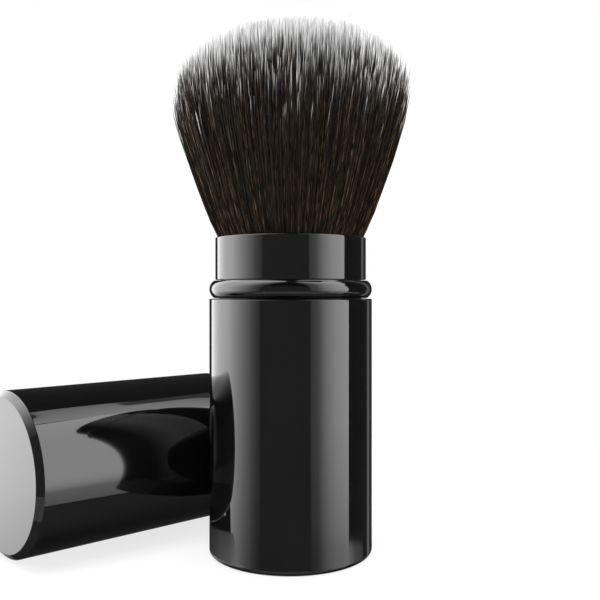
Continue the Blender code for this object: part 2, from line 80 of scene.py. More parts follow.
# Body sizes in millimetres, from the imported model's own boxes
BODY_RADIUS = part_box("base_shell")[1].x / MM
BASE_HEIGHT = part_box("base_shell")[1].z / MM
COLLAR_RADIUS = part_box("collar")[1].x / MM
COLLAR_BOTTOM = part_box("collar")[0].z / MM
COLLAR_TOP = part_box("collar")[1].z / MM
BEAD_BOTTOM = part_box("trim_ring")[0].z / MM
BEAD_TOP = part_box("trim_ring")[1].z / MM
SLEEVE_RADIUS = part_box("guide_sleeve")[1].x / MM
SLEEVE_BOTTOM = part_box("guide_sleeve")[0].z / MM
SLEEVE_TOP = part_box("guide_sleeve")[1].z / MM
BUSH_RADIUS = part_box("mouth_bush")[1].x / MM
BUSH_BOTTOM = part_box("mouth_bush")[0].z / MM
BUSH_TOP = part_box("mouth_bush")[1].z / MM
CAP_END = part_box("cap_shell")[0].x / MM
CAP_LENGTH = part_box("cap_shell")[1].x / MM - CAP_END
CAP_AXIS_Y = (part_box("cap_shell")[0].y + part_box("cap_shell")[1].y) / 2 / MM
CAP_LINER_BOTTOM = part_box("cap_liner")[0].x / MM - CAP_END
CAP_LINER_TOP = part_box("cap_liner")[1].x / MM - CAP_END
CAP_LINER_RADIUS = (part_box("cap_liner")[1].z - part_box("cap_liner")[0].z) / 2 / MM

# Walls, clearances and small features that the boxes don't give, in millimetres
SHELL_WALL = 0.45
SLEEVE_WALL = 0.8
GLUE_GAP = 0.12
SLIDE_GAP = 0.15
GRIP_GAP = 0.12
BASE_RECESS_RADIUS = 12.6
BASE_RECESS_SLOPE = 0.5
BASE_RECESS_DEPTH = 0.15
BUSH_BORE = SLEEVE_RADIUS + SLIDE_GAP
BUSH_LEAD = 0.3
RING_GROOVE_DEPTH = 1.1
RING_GROOVE_HALF = 0.6
STOP_GROOVE_DEPTH = 0.3
STOP_GROOVE_FOOT = 0.3
STOP_GROOVE_TOP = 1.9
COLLAR_MOUTH_DEPTH = 3.0
COLLAR_SHOULDER = COLLAR_TOP - COLLAR_MOUTH_DEPTH
COLLAR_LIP = 0.45
BEAD_BULGE = 0.95
BEAD_STEPS = 22
CAP_CHAMFER = 1.2
CAP_BORE = 14.83
CAP_MOUTH = COLLAR_RADIUS + GRIP_GAP
CAP_STEP = 41.25
CAP_FLOOR = 1.0
GATE_HEIGHT = 0.35
GATE_RADIUS = 1.2
GATE_FOOT_RADIUS = 1.5
CAP_RIB_COUNT = 24
CAP_RIB_HEIGHT = 0.05
CAP_RIB_SHARPNESS = 4
CAP_RIB_STOP = 0.5

# Corner rounds in millimetres, from the crispest to the softest
BORE_ROUND = 0.08
FINE_ROUND = 0.1
TRIMMED_ROUND = 0.12
CHAMFER_ROUND = 0.14
MOULDED_ROUND = 0.15
LIP_ROUND = 0.16
MOUTH_ROUND = 0.2
CUP_FLOOR_ROUND = 0.3
RECESS_ROUND = 0.6
BASE_EDGE_ROUND = 0.9
CAP_FLOOR_ROUND = 1.0

# The bristle head's outline: each height and the head's radius there, in millimetres
HEAD_OUTLINE = (
    (53.0, 12.45), (57.3, 12.6), (59.5, 12.75), (61.0, 13.25), (62.3, 14.0), (63.4, 14.66),
    (64.7, 15.35), (66.0, 15.98), (67.2, 16.55), (71.3, 18.05), (75.3, 19.45), (79.4, 20.75),
    (83.5, 22.0), (87.6, 23.0), (91.0, 23.55), (96.0, 24.2), (101.0, 24.7), (108.0, 25.3),
)
# The dome over it: each radius and the tips' height there, in millimetres
DOME_OUTLINE = (
    (0.0, 107.2), (5.0, 106.9), (10.0, 106.5), (15.0, 105.4), (18.0, 104.0), (20.0, 102.3),
    (22.0, 99.2), (23.0, 96.4), (23.6, 92.8), (24.2, 88.0), (25.5, 80.0),
)
HEAD_SMOOTHING = 0.8
DOME_SMOOTHING = 1.0
OUTLINE_STEPS = 800
DOME_TILT = 0.045
SHOULDER_RADIUS = 23.5
ROOT_HEIGHT = 54.7
LOWEST_TIP = 60.0
HALVINGS = 24

# Strands, the wisps that they gather into, and the outer locks round the head; on the real brush the sleeve
# draws them in, here they are fixed meshes
HEAD_SEED = 20
STRAND_COUNT = 19000
STRAND_JITTER = 0.45
WISP_COUNT = 6000
WISP_JITTER = 0.3
CENTRE_SHARE = 0.45
CENTRE_RINGS = 7
LOCK_COUNT = 16
LOCK_RINGS = 11
RING_CROWDING = 1.5
STRAND_SIDES = 3

# A strand's thickness, in millimetres, and how it thins to its tip
STRAND_RADIUS = 0.082
THICKNESS_SHARES = (0.8, 1.15)
TIP_RADIUS_SHARE = 0.24
TAPER_LENGTH = 5.0
TAPER_POWER = 0.8

# Shares of the head's radius where its strands turn looser, plainer and more unevenly cut
LOOSE_SHARE = 0.74
PLAIN_SHARE = 0.80
RIM_SHARE = 0.88
FADE_SHARE = 0.12
CALM_SHARE = 0.4
INNER_SHARE = 0.2

# How the tips differ in height, in millimetres
TIP_WEAR = 0.7
WISP_UNEVENNESS = 0.7
CUT_CHANCE = 0.8
CUT_DEPTH = 11.0

# How strands bend above the collar: heights in millimetres, sideways moves in head radii
FREE_HEIGHT = 62.0
FREE_REACH = 30.0
WISP_LEAN = 0.023
STRAND_LEAN = 0.009
LEAN_POWER = 1.5
WISP_PULL_SHARES = (0.45, 0.92)
PULL_LENGTH = 15.0
PULL_POWER = 1.5
WAVE_SIZE = 0.008
WAVE_ANGLE = 14.0

# Where the fibre's colours fall on a strand, in millimetres below its tip
COLOUR_REACH = 50.0
STRAND_SHIFT = 0.45
WISP_SHIFT = 0.35
RIM_PALE_LENGTH = 0.4
INNER_PALE_LENGTH = 2.0
SHORT_PALE_CHANCE = 0.55
SHORT_PALE_REACH = 6.0
PLAIN_CHANCE = 0.35
PLAIN_REACH = (1.5, 5.0)

# The fibre's colours from the root at 0 to the tip at 1, for the darkest and the palest strand
DARK_TONES = (
    (0.00, (0.0048, 0.0035, 0.0024)), (0.86, (0.0048, 0.0037, 0.0028)), (0.915, (0.011, 0.010, 0.009)),
    (0.942, (0.036, 0.033, 0.030)), (0.958, (0.125, 0.122, 0.118)), (0.972, 0.35), (0.986, 0.62),
    (1.00, 0.82),
)
PALE_TONES = (
    (0.00, (0.215, 0.132, 0.068)), (0.84, (0.130, 0.084, 0.048)), (0.91, (0.16, 0.14, 0.12)),
    (0.94, (0.27, 0.265, 0.26)), (0.962, 0.49), (0.98, 0.70), (1.00, 0.84),
)
PALE_RARITY = 2.4
MOTTLE_REPEATS = 22.0
MOTTLE_STEP = 7.31
MOTTLE_RANGE = (0.42, 0.68)

# The strands' map: a column for each tone, with margins that keep a strand inside its own
TONE_COLUMNS = 128
COLUMN_MARGIN = 0.15
END_MARGIN = 0.002
ROOT_ACROSS = (0.9, 0.5, 0.1)
ROOT_LIFT = 0.02

# The light sheets and drapes round the brush, in metres, and the room's light on matt surfaces
SCRIM_DISTANCE = 6.0
SCRIM_STEPS = 24
DRAPE_DISTANCE = 8.0
ROOM_LIGHT = 0.85
EVEN = ((0.0, 1.0), (1.0, 1.0))

# Each lamp's name, azimuth and elevation in degrees, distance and size in metres, power in watts
LAMPS = (
    ("left_lamp", -108, 0, 1.4, 0.7, 27.0),
    ("right_lamp", 107, 0, 1.4, 0.7, 24.0),
    ("front_lamp", -8, 50, 1.4, 0.8, 3.5),
    ("overhead_lamp", 0, 84, 1.3, 0.8, 19.0),
)

# The card that shades the foot's reflections: azimuths in degrees, and the rest in millimetres,
# with its top's heights given at shares of its width
FOOT_CARD_AZIMUTHS = (-151, -66)
FOOT_CARD_DISTANCE = 80
FOOT_CARD_BOTTOM = -28
FOOT_CARD_TALLEST = -9
FOOT_CARD_STEPS = 68
FOOT_CARD_TOPS = (
    (0.0, -12.5), (0.595, -12.5), (0.605, -9.0), (0.705, -9.0), (0.715, -17.2), (0.785, -17.4),
    (0.82, -21.1), (0.857, -25.9), (1.0, -26.5),
)

# The floor: its tone, and where its own shading gives way to plain white, in metres
FLOOR_TONE = 0.80
FLOOR_NEAR = 0.03
FLOOR_FAR = 0.16
FLOOR_LEAST_WHITE = 0.75
FLOOR_REACH = 9.0


def node_of(tree, kind, **settings):
    """A new shader node with its settings."""
    node = tree.nodes.new(kind)
    for name, value in settings.items():
        setattr(node, name, value)
    return node


def math_node(tree, operation, first, second=None, clamp=False):
    """A maths node's result; a plain number or a socket may go into each side."""
    node = node_of(tree, "ShaderNodeMath", operation=operation, use_clamp=clamp)
    for index, value in enumerate((first, second)):
        if value is None:
            continue
        if isinstance(value, (int, float)):
            node.inputs[index].default_value = value
        else:
            tree.links.new(value, node.inputs[index])
    return node.outputs[0]


def ramp_node(tree, factor, stops):
    """A colour ramp's colour; stops are (place, grey) or (place, (r, g, b))."""
    node = node_of(tree, "ShaderNodeValToRGB")
    ramp = node.color_ramp
    while len(ramp.elements) > 1:
        ramp.elements.remove(ramp.elements[-1])
    for index, (place, colour) in enumerate(stops):
        element = ramp.elements[0] if index == 0 else ramp.elements.new(place)
        element.position = place
        rgb = colour if isinstance(colour, tuple) else (colour,) * 3
        element.color = (*rgb, 1.0)
    tree.links.new(factor, node.inputs["Fac"])
    return node.outputs["Color"]


def noise_node(tree, vector, scale, detail=2.0, roughness=0.5):
    """A noise pattern's value at a place; scale is its repeats to the place's own unit."""
    node = node_of(tree, "ShaderNodeTexNoise")
    node.inputs["Detail"].default_value = detail
    node.inputs["Roughness"].default_value = roughness
    if isinstance(scale, (int, float)):
        node.inputs["Scale"].default_value = scale
    else:
        tree.links.new(scale, node.inputs["Scale"])
    tree.links.new(vector, node.inputs["Vector"])
    return node.outputs["Fac"]


def range_node(tree, value, low, high, new_low, new_high):
    """A value moved from one range to another, and held inside it."""
    node = node_of(tree, "ShaderNodeMapRange")
    for name, number in zip(("From Min", "From Max", "To Min", "To Max"), (low, high, new_low, new_high)):
        if isinstance(number, (int, float)):
            node.inputs[name].default_value = number
        else:
            tree.links.new(number, node.inputs[name])
    tree.links.new(value, node.inputs["Value"])
    return node.outputs["Result"]


def new_group(name, inputs, outputs):
    """An empty shader node group with named number sockets."""
    tree = bpy.data.node_groups.new(name, "ShaderNodeTree")
    for label, value in inputs:
        socket = tree.interface.new_socket(label, in_out="INPUT", socket_type="NodeSocketFloat")
        socket.default_value = value
    for label in outputs:
        tree.interface.new_socket(label, in_out="OUTPUT", socket_type="NodeSocketFloat")
    return tree, tree.nodes.new("NodeGroupInput"), tree.nodes.new("NodeGroupOutput")


def handling_group():
    """Where hands and cloths have touched a surface: soft wipes and finer specks."""
    tree, given, result = new_group(
        "handling",
        (("Wipe size", 60.0), ("Speck size", 2600.0), ("Amount", 1.0)),
        ("Wipes", "Specks"),
    )
    place = node_of(tree, "ShaderNodeTexCoord").outputs["Object"]
    wipes = noise_node(tree, place, given.outputs["Wipe size"], detail=4.0, roughness=0.62)
    wiped = range_node(tree, wipes, 0.42, 0.72, 0.0, given.outputs["Amount"])
    specks = noise_node(tree, place, given.outputs["Speck size"], detail=1.0)
    specked = range_node(tree, specks, 0.70, 0.80, 0.0, given.outputs["Amount"])
    tree.links.new(wiped, result.inputs["Wipes"])
    tree.links.new(specked, result.inputs["Specks"])
    return tree


def grain_group():
    """A surface's fine relief: a broad ripple under a finer grain."""
    tree, given, result = new_group(
        "grain",
        (("Ripple size", 300.0), ("Grain size", 4000.0), ("Grain share", 0.5)),
        ("Height",),
    )
    place = node_of(tree, "ShaderNodeTexCoord").outputs["Object"]
    ripple = noise_node(tree, place, given.outputs["Ripple size"], detail=1.0)
    grain = noise_node(tree, place, given.outputs["Grain size"], roughness=0.6)
    fine = math_node(tree, "MULTIPLY", grain, given.outputs["Grain share"])
    tree.links.new(math_node(tree, "ADD", ripple, fine), result.inputs["Height"])
    return tree


HANDLING = handling_group()
GRAIN = grain_group()


def put_group(tree, group, **values):
    """A group placed in a material with its own values."""
    node = node_of(tree, "ShaderNodeGroup", node_tree=group)
    for label, value in values.items():
        node.inputs[label.replace("_", " ")].default_value = value
    return node


def new_material(name, **constants):
    """A material with its Principled shader's plain values set."""
    material = bpy.data.materials.new(name)
    material.use_nodes = True
    shader = material.node_tree.nodes["Principled BSDF"]
    for label, value in constants.items():
        shader.inputs[label.replace("_", " ")].default_value = value
    return material, material.node_tree, shader


def finish_relief(tree, shader, height, distance):
    """Turn a height into the shader's normal; distance is in metres."""
    bump = node_of(tree, "ShaderNodeBump")
    bump.inputs["Strength"].default_value = 1.0
    bump.inputs["Distance"].default_value = distance
    tree.links.new(height, bump.inputs["Height"])
    tree.links.new(bump.outputs["Normal"], shader.inputs["Normal"])


def solid_finish(name, tones, roughness, relief, marks, **constants):
    """A finish whose colour, gloss and relief all vary a little over the surface.

    Tones and roughness each hold a clean value and a handled one. Relief holds ripples and grains
    to the metre, the grain's share and the height in metres. Marks holds wipes and specks to the
    metre and how strong they are.
    """
    material, tree, shader = new_material(name, **constants)
    wipe_size, speck_size, amount = marks
    handled = put_group(tree, HANDLING, Wipe_size=wipe_size, Speck_size=speck_size, Amount=amount)
    both = math_node(tree, "MAXIMUM", handled.outputs["Wipes"], handled.outputs["Specks"], clamp=True)
    tree.links.new(ramp_node(tree, both, ((0.0, tones[0]), (1.0, tones[1]))), shader.inputs["Base Color"])
    gloss = range_node(tree, handled.outputs["Wipes"], 0.0, 1.0, roughness[0], roughness[1])
    tree.links.new(gloss, shader.inputs["Roughness"])
    ripple_size, grain_size, grain_share, distance = relief
    grain = put_group(tree, GRAIN, Ripple_size=ripple_size, Grain_size=grain_size, Grain_share=grain_share)
    finish_relief(tree, shader, grain.outputs["Height"], distance)
    return material


def bristle_fibre():
    """Dark brown fibre with a pale tip; each strand reads one of many tones."""
    material, tree, shader = new_material(
        "bristle_fibre", Roughness=0.42, Specular_IOR_Level=0.04, Specular_Tint=(1.0, 0.74, 0.48, 1.0),
    )
    place = node_of(tree, "ShaderNodeUVMap", uv_map="OFBake").outputs["UV"]
    parts = node_of(tree, "ShaderNodeSeparateXYZ")
    tree.links.new(place, parts.inputs[0])
    column = math_node(tree, "FLOOR", math_node(tree, "MULTIPLY", parts.outputs["X"], TONE_COLUMNS))
    pick = node_of(tree, "ShaderNodeTexWhiteNoise", noise_dimensions="1D")
    tree.links.new(column, pick.inputs["W"])
    spot = node_of(tree, "ShaderNodeCombineXYZ")
    tree.links.new(math_node(tree, "MULTIPLY", column, MOTTLE_STEP), spot.inputs["X"])
    tree.links.new(math_node(tree, "MULTIPLY", parts.outputs["Y"], MOTTLE_REPEATS), spot.inputs["Y"])
    cloud = noise_node(tree, spot.outputs[0], 1.0, detail=1.0)
    mottle = range_node(tree, cloud, *MOTTLE_RANGE, 0.0, 1.0)
    rare = math_node(tree, "POWER", pick.outputs["Value"], PALE_RARITY)
    blend = node_of(tree, "ShaderNodeMix", data_type="RGBA")
    tree.links.new(math_node(tree, "MULTIPLY", rare, mottle), blend.inputs["Factor"])
    tree.links.new(ramp_node(tree, parts.outputs["Y"], DARK_TONES), blend.inputs["A"])
    tree.links.new(ramp_node(tree, parts.outputs["Y"], PALE_TONES), blend.inputs["B"])
    tree.links.new(blend.outputs["Result"], shader.inputs["Base Color"])
    return material


FINISHES = {
    "black_lacquer": solid_finish(
        "black_lacquer", ((0.0020, 0.0020, 0.0021), (0.0034, 0.0034, 0.0035)), (0.05, 0.11),
        (420.0, 2600.0, 0.2, 0.0000016), (55.0, 3100.0, 0.8),
        Coat_Weight=1.0, Coat_Roughness=0.025, Coat_IOR=1.5, IOR=1.5,
    ),
    "black_moulding": solid_finish(
        "black_moulding", ((0.016, 0.016, 0.017), (0.026, 0.026, 0.027)), (0.34, 0.48),
        (700.0, 7000.0, 0.8, 0.000012), (70.0, 2400.0, 1.0), IOR=1.53,
    ),
    "black_rubber": solid_finish(
        "black_rubber", ((0.012, 0.012, 0.012), (0.030, 0.030, 0.029)), (0.62, 0.80),
        (900.0, 6000.0, 0.6, 0.00002), (160.0, 2600.0, 1.0), IOR=1.52,
    ),
    "zinc_plated_steel": solid_finish(
        "zinc_plated_steel", ((0.60, 0.60, 0.62), (0.50, 0.49, 0.46)), (0.24, 0.42),
        (1200.0, 9000.0, 0.7, 0.000006), (220.0, 3000.0, 1.0), Metallic=1.0,
    ),
    "aluminium": solid_finish(
        "aluminium", ((0.78, 0.78, 0.79), (0.68, 0.68, 0.69)), (0.26, 0.40),
        (900.0, 8000.0, 0.6, 0.000006), (140.0, 2800.0, 1.0), Metallic=1.0,
    ),
    "amber_resin": solid_finish(
        "amber_resin", ((0.42, 0.27, 0.10), (0.52, 0.38, 0.19)), (0.12, 0.30),
        (260.0, 2200.0, 0.3, 0.00004), (200.0, 2000.0, 1.0), IOR=1.55,
    ),
    "bristle_fibre": bristle_fibre(),
}


def rounded_corner(before, corner, after, rounding):
    """The points of the arc that rounds a corner between its two neighbours."""
    back = (before - corner).normalized()
    on = (after - corner).normalized()
    half = back.angle(on) / 2
    centre = corner + (back + on).normalized() * (rounding / math.sin(half))
    reach = rounding / math.tan(half)
    first = corner + back * reach - centre
    last = corner + on * reach - centre
    sweep = first.angle(last)
    run = []
    for step in range(ROUND_STEPS + 1):
        share = step / ROUND_STEPS
        turned = (first * math.sin((1 - share) * sweep) + last * math.sin(share * sweep)) / math.sin(sweep)
        run.append(centre + turned)
    return run


def outline_through(corners, closed):
    """A smooth outline through corners (radius, height, round), all in millimetres."""
    runs = []
    for index, (radius, height, rounding) in enumerate(corners):
        here = Vector((radius, height))
        if rounding:
            before = Vector(corners[index - 1][:2])
            after = Vector(corners[(index + 1) % len(corners)][:2])
            runs.append(rounded_corner(before, here, after, rounding))
        else:
            runs.append([here])
    points = []
    for index, run in enumerate(runs):
        points.extend(run)
        if index == len(runs) - 1 and not closed:
            break
        start = run[-1]
        gap = runs[(index + 1) % len(runs)][0] - start
        if gap.length > SHORTEST_HELD:
            points.append(start + gap.normalized() * HOLDING_GAP)
            points.append(start + gap - gap.normalized() * HOLDING_GAP)
    return points


def mesh_object(name, mesh, slot, body, stands_for):
    """A piece in the scene, riding on its body and standing for its CAD nodes."""
    piece = bpy.data.objects.new(name, mesh)
    bpy.context.scene.collection.objects.link(piece)
    mesh.materials.append(FINISHES[slot])
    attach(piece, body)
    # The lacquer mirrors no bristles, as in the photograph
    if slot == "bristle_fibre":
        piece.visible_glossy = False
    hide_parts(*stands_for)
    return piece


def turned_piece(name, corners, slot, body, stands_for, closed=False, place=None, shape=None):
    """A turned piece with rounded corners, made about the Z axis and then put in place."""
    vertices = []
    rows = []
    for radius, height in outline_through(corners, closed):
        if radius < ON_AXIS:
            rows.append([len(vertices)] * TURN_STEPS)
            vertices.append((0, 0, height * MM))
            continue
        rows.append(range(len(vertices), len(vertices) + TURN_STEPS))
        for step in range(TURN_STEPS):
            angle = FULL_TURN * step / TURN_STEPS
            across = shape(radius, height, angle) if shape else radius
            vertices.append((across * math.cos(angle) * MM, across * math.sin(angle) * MM, height * MM))
    faces = []
    for low, high in zip(rows, rows[1:] + rows[:1] if closed else rows[1:]):
        for step in range(TURN_STEPS):
            after = (step + 1) % TURN_STEPS
            face = list(dict.fromkeys([low[step], low[after], high[after], high[step]]))
            if len(face) > 2:
                faces.append(face)
    mesh = bpy.data.meshes.new(name)
    mesh.from_pydata(vertices, [], faces)
    form = bmesh.new()
    form.from_mesh(mesh)
    bmesh.ops.recalc_face_normals(form, faces=form.faces)
    form.to_mesh(mesh)
    form.free()
    if place is not None:
        mesh.transform(place)
    mesh.shade_smooth()
    mesh.set_sharp_from_angle(angle=SHARP_ANGLE)
    mesh_object(name, mesh, slot, body, stands_for)


def base_cup():
    """The gloss metal cup that is held, with a shallow recess pressed into its bottom."""
    inner = BODY_RADIUS - SHELL_WALL
    turned_piece("base_cup", (
        (0, BASE_RECESS_DEPTH, 0),
        (BASE_RECESS_RADIUS, BASE_RECESS_DEPTH, RECESS_ROUND),
        (BASE_RECESS_RADIUS + BASE_RECESS_SLOPE, 0, RECESS_ROUND),
        (BODY_RADIUS, 0, BASE_EDGE_ROUND),
        (BODY_RADIUS, BASE_HEIGHT, LIP_ROUND),
        (inner, BASE_HEIGHT, TRIMMED_ROUND),
        (inner, SHELL_WALL, CUP_FLOOR_ROUND),
        (0, SHELL_WALL, 0),
    ), "black_lacquer", "handle", ("base_shell",))


def mouth_bushing():
    """The moulded bush in the base's mouth, with the friction ring's groove."""
    middle = (BUSH_TOP + BUSH_BOTTOM) / 2
    groove = SLEEVE_RADIUS + RING_GROOVE_DEPTH
    turned_piece("mouth_bushing", (
        (BUSH_RADIUS, BUSH_BOTTOM, MOULDED_ROUND),
        (BUSH_RADIUS, BUSH_TOP, MOULDED_ROUND),
        (BUSH_BORE + BUSH_LEAD, BUSH_TOP, BORE_ROUND),
        (BUSH_BORE, BUSH_TOP - BUSH_LEAD, BORE_ROUND),
        (BUSH_BORE, middle + RING_GROOVE_HALF, BORE_ROUND),
        (groove, middle + RING_GROOVE_HALF, FINE_ROUND),
        (groove, middle - RING_GROOVE_HALF, FINE_ROUND),
        (BUSH_BORE, middle - RING_GROOVE_HALF, BORE_ROUND),
        (BUSH_BORE, BUSH_BOTTOM, MOULDED_ROUND),
    ), "black_moulding", "handle", ("mouth_bush",), closed=True)


def sleeve_tube():
    """The moulded tube that slides out of the base round the bristles."""
    bore = SLEEVE_RADIUS - SLEEVE_WALL
    groove = SLEEVE_RADIUS - STOP_GROOVE_DEPTH
    turned_piece("sleeve_tube", (
        (bore, SLEEVE_BOTTOM, MOULDED_ROUND),
        (SLEEVE_RADIUS, SLEEVE_BOTTOM, TRIMMED_ROUND),
        (SLEEVE_RADIUS, SLEEVE_BOTTOM + STOP_GROOVE_FOOT, 0),
        (groove, SLEEVE_BOTTOM + STOP_GROOVE_FOOT, 0),
        (groove, SLEEVE_BOTTOM + STOP_GROOVE_TOP, 0),
        (SLEEVE_RADIUS, SLEEVE_BOTTOM + STOP_GROOVE_TOP, 0),
        (SLEEVE_RADIUS, SLEEVE_TOP, MOUTH_ROUND),
        (bore, SLEEVE_TOP, MOUTH_ROUND),
    ), "black_moulding", "sleeve", ("guide_sleeve",), closed=True)


def trim_bead():
    """The gloss ring between the base and the collar, its face a shallow arc."""
    glued = SLEEVE_RADIUS + GLUE_GAP
    half = (BEAD_TOP - BEAD_BOTTOM) / 2
    middle = (BEAD_TOP + BEAD_BOTTOM) / 2
    arc_radius = (half ** 2 + BEAD_BULGE ** 2) / (2 * BEAD_BULGE)
    reach = math.asin(half / arc_radius)
    arc = []
    for step in range(BEAD_STEPS + 1):
        turn = reach * (2 * step / BEAD_STEPS - 1)
        across = BODY_RADIUS - arc_radius * (1 - math.cos(turn))
        arc.append((across, middle + arc_radius * math.sin(turn), 0))
    turned_piece("trim_bead", (
        (glued, BEAD_BOTTOM, FINE_ROUND),
        *arc,
        (glued, BEAD_TOP, FINE_ROUND),
    ), "black_lacquer", "sleeve", ("trim_ring",), closed=True)


def collar_band():
    """The gloss collar round the bristles' throat, with a mouth that flares inside."""
    glued = SLEEVE_RADIUS + GLUE_GAP
    bore = SLEEVE_RADIUS - SLEEVE_WALL
    turned_piece("collar_band", (
        (glued, COLLAR_BOTTOM, FINE_ROUND),
        (COLLAR_RADIUS, COLLAR_BOTTOM, MOULDED_ROUND),
        (COLLAR_RADIUS, COLLAR_TOP, MOUTH_ROUND),
        (COLLAR_RADIUS - COLLAR_LIP, COLLAR_TOP, FINE_ROUND),
        (bore, COLLAR_SHOULDER, MOUTH_ROUND),
        (glued, COLLAR_SHOULDER, 0),
    ), "black_lacquer", "sleeve", ("collar",), closed=True)


CAP_PLACE = (
    Matrix.Translation((CAP_END * MM, CAP_AXIS_Y * MM, BODY_RADIUS * MM))
    @ Matrix.Rotation(math.pi / 2, 4, "Y")
)


def cap_cup():
    """The gloss metal cup of the cap, closed and chamfered at its far end."""
    inner = BODY_RADIUS - SHELL_WALL
    turned_piece("cap_cup", (
        (0, SHELL_WALL, 0),
        (inner - CAP_CHAMFER, SHELL_WALL, MOUTH_ROUND),
        (inner, SHELL_WALL + CAP_CHAMFER, MOUTH_ROUND),
        (inner, CAP_LENGTH, TRIMMED_ROUND),
        (BODY_RADIUS, CAP_LENGTH, LIP_ROUND),
        (BODY_RADIUS, CAP_CHAMFER, CHAMFER_ROUND),
        (BODY_RADIUS - CAP_CHAMFER, 0, CHAMFER_ROUND),
        (0, 0, 0),
    ), "black_lacquer", "cap", ("cap_shell",), place=CAP_PLACE)


def rib_rise(radius, height, angle):
    """The grip ribs in the cap's mouth: low rounded ridges that the collar pushes past."""
    if abs(radius - CAP_MOUTH) > CAP_RIB_HEIGHT or height > CAP_LINER_TOP - CAP_RIB_STOP:
        return radius
    return radius - CAP_RIB_HEIGHT * max(0.0, math.cos(CAP_RIB_COUNT * angle)) ** CAP_RIB_SHARPNESS


def cap_lining():
    """The moulded cup in the cap, with a gate stub on its floor and a wider mouth that grips."""
    bottom = CAP_LINER_BOTTOM
    floor_height = bottom + CAP_FLOOR
    turned_piece("cap_lining", (
        (0, floor_height + GATE_HEIGHT, 0),
        (GATE_RADIUS, floor_height + GATE_HEIGHT, MOUTH_ROUND),
        (GATE_FOOT_RADIUS, floor_height, MOUTH_ROUND),
        (CAP_BORE, floor_height, CAP_FLOOR_ROUND),
        (CAP_BORE, CAP_STEP - (CAP_MOUTH - CAP_BORE), MOULDED_ROUND),
        (CAP_MOUTH, CAP_STEP, MOULDED_ROUND),
        (CAP_MOUTH, CAP_LINER_TOP, MOULDED_ROUND),
        (CAP_LINER_RADIUS, CAP_LINER_TOP, FINE_ROUND),
        (CAP_LINER_RADIUS, bottom + CAP_CHAMFER, 0),
        (CAP_LINER_RADIUS - CAP_CHAMFER, bottom, 0),
        (0, bottom, 0),
    ), "black_moulding", "cap", ("cap_liner",), place=CAP_PLACE, shape=rib_rise)


def smooth_table(pairs, smoothing):
    """A table of numbers as a finely stepped curve, smoothed over the given length."""
    given = np.array(pairs)
    fine = np.linspace(given[0, 0], given[-1, 0], OUTLINE_STEPS + 1)
    values = np.interp(fine, given[:, 0], given[:, 1])
    reach = max(1, int(smoothing / (fine[1] - fine[0])))
    margin = reach // 2 + 1
    kernel = np.ones(reach + 1) / (reach + 1)
    for _ in range(2):
        padded = np.pad(values, margin, mode="reflect", reflect_type="odd")
        values = np.convolve(padded, kernel, "same")[margin:-margin]
    return fine, values


def rise(values, start, width):
    """0 up to the start, then a straight rise to 1 over the width."""
    return np.clip((values - start) / width, 0, 1)


def grow(least, share):
    """The least value where the share is 0, and 1 where it is 1."""
    return least + (1 - least) * share


def sunflower(count, rng, jitter):
    """Evenly spread places in the unit circle, each moved a little."""
    order = np.arange(count) + 0.5
    radius = np.sqrt(order / count)
    angle = order * math.pi * (3 - math.sqrt(5))
    places = np.stack([radius * np.cos(angle), radius * np.sin(angle)], 1)
    places += rng.normal(0, jitter / math.sqrt(count), places.shape)
    length = np.linalg.norm(places, axis=1, keepdims=True)
    return places / np.maximum(length, 1)


def nearest_wisp(strands, wisps):
    """For each strand, the wisp whose middle is nearest to its root."""
    tree = KDTree(len(wisps))
    for index, (across, along) in enumerate(wisps):
        tree.insert((across, along, 0), index)
    tree.balance()
    return np.array([tree.find((across, along, 0))[1] for across, along in strands])


def tip_heights(shares, head, dome):
    """Where each strand's line meets the dome, found by halving."""
    low = np.full(len(shares), LOWEST_TIP)
    high = np.full(len(shares), HEAD_OUTLINE[-1][0])
    for _ in range(HALVINGS):
        middle = (low + high) / 2
        above = middle > np.interp(shares * np.interp(middle, *head), *dome)
        high = np.where(above, middle, high)
        low = np.where(above, low, middle)
    return low


def tone_shift(rng, shares, wisp, rim, loose):
    """How much further below its tip each strand reads its colours, in millimetres."""
    shift = rng.normal(0, STRAND_SHIFT, STRAND_COUNT) + rng.normal(0, WISP_SHIFT, WISP_COUNT)[wisp]
    shift = shift * loose - RIM_PALE_LENGTH - INNER_PALE_LENGTH * (1 - rim)
    short_pale = rng.random(STRAND_COUNT) < SHORT_PALE_CHANCE
    shift = shift + np.where(short_pale, rng.uniform(0, SHORT_PALE_REACH, STRAND_COUNT) * np.sqrt(rim), 0)
    plain = (rng.random(STRAND_COUNT) < PLAIN_CHANCE) * rise(shares, PLAIN_SHARE, FADE_SHARE)
    return shift + plain * rng.uniform(*PLAIN_REACH, STRAND_COUNT)


def lock_numbers(roots, shares):
    """The lock each strand belongs to, counted round the head; the middle bundle comes last."""
    turns = np.arctan2(roots[:, 1], roots[:, 0]) / FULL_TURN % 1
    locks = np.minimum(np.floor(turns * LOCK_COUNT).astype(int), LOCK_COUNT - 1)
    return np.where(shares < CENTRE_SHARE, LOCK_COUNT, locks)


